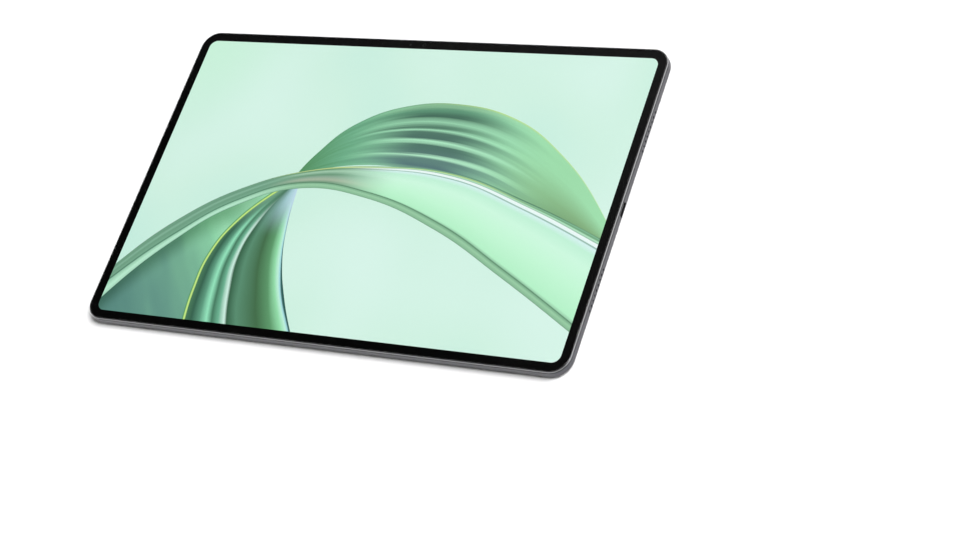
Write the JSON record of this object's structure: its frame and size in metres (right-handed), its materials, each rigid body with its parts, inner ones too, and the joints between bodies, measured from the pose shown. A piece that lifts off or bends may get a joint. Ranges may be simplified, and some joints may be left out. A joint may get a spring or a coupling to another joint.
{
  "type": "tablet computer",
  "caption": "Slim landscape tablet computer with a glass front, metal shell, rear camera bump, side speaker holes, charging port, and power and volume keys.",
  "frame": {"origin": "centre of the footprint, on the surface that the camera bump touches when the tablet lies on its back", "axes": "+X towards the short side with the charging port, +Y towards the long side with the front camera and the keys, +Z out of the screen"},
  "size_m": [0.314, 0.201, 0.007],
  "materials": {
    "anodised_shell": "bead-blasted, grey anodised aluminium",
    "polished_frame": "polished chamfer, grey anodised",
    "cover_glass": "clear strengthened glass with a black printed border underneath",
    "display": "lit display panel showing an abstract pale green picture",
    "camera_glass": "polished glass, black underneath",
    "black_metal": "black anodised, satin",
    "steel": "plain stamped stainless steel",
    "graphite": "matt graphite sheet",
    "battery_pouch": "black wrapped pouch",
    "circuit_board": "green solder mask",
    "flex_film": "amber polyimide film",
    "acoustic_mesh": "fine black woven mesh",
    "black_plastic": "black moulded plastic"
  },
  "bodies": {
    "tablet_body": {"back_cover": "anodised_shell", "glass_frame": "polished_frame", "cover_glass": "cover_glass", "display_panel": "display", "mid_plate": "steel", "heat_spreader": "graphite", "camera_bump_rim": "black_metal", "camera_bump_glass": "camera_glass", "main_lens_ring": "black_metal", "main_lens": "camera_glass", "second_lens_ring": "black_metal", "second_lens": "camera_glass", "rear_camera": "black_plastic", "rear_camera_flex": "flex_film", "front_camera": "black_plastic", "light_sensor": "black_plastic", "battery_left": "battery_pouch", "battery_right": "battery_pouch", "battery_board": "circuit_board", "main_board": "circuit_board", "port_board": "circuit_board", "processor_shield": "steel", "power_shield": "steel", "display_flex": "flex_film", "port_flex": "flex_film", "usb_c_shell": "steel", "usb_c_tongue": "black_plastic", "key_bracket": "steel", "power_switch": "black_plastic", "volume_up_switch": "black_plastic", "volume_down_switch": "black_plastic", "speaker_left_upper": "black_plastic", "speaker_left_lower": "black_plastic", "speaker_right_upper": "black_plastic", "speaker_right_lower": "black_plastic", "speaker_mesh_left_upper": "acoustic_mesh", "speaker_mesh_left_lower": "acoustic_mesh", "speaker_mesh_right_upper": "acoustic_mesh", "speaker_mesh_right_lower": "acoustic_mesh", "microphone_left": "steel", "microphone_right": "steel", "antenna_upper": "flex_film", "antenna_lower": "flex_film", "screw_board_left_lower": "steel", "screw_board_left_upper": "steel", "screw_board_right_lower": "steel", "screw_board_right_upper": "steel", "screw_port_lower": "steel", "screw_port_upper": "steel"},
    "power_key": {"power_key": "anodised_shell"},
    "volume_key": {"volume_key": "anodised_shell"}
  },
  "joints": [
    {"name": "power_press", "type": "slide", "parent": "tablet_body", "child": "power_key", "axis": [0, -1, 0], "range_m": [0, 0.0003], "stiffness_N_per_m": 4000},
    {"name": "volume_rock", "type": "hinge", "parent": "tablet_body", "child": "volume_key", "pos_m": [-0.098, 0.09703, 0.00365], "axis": [0, 0, 1], "range_deg": [-1.2, 1.2], "stiffness_Nm_per_rad": 1}
  ]
}
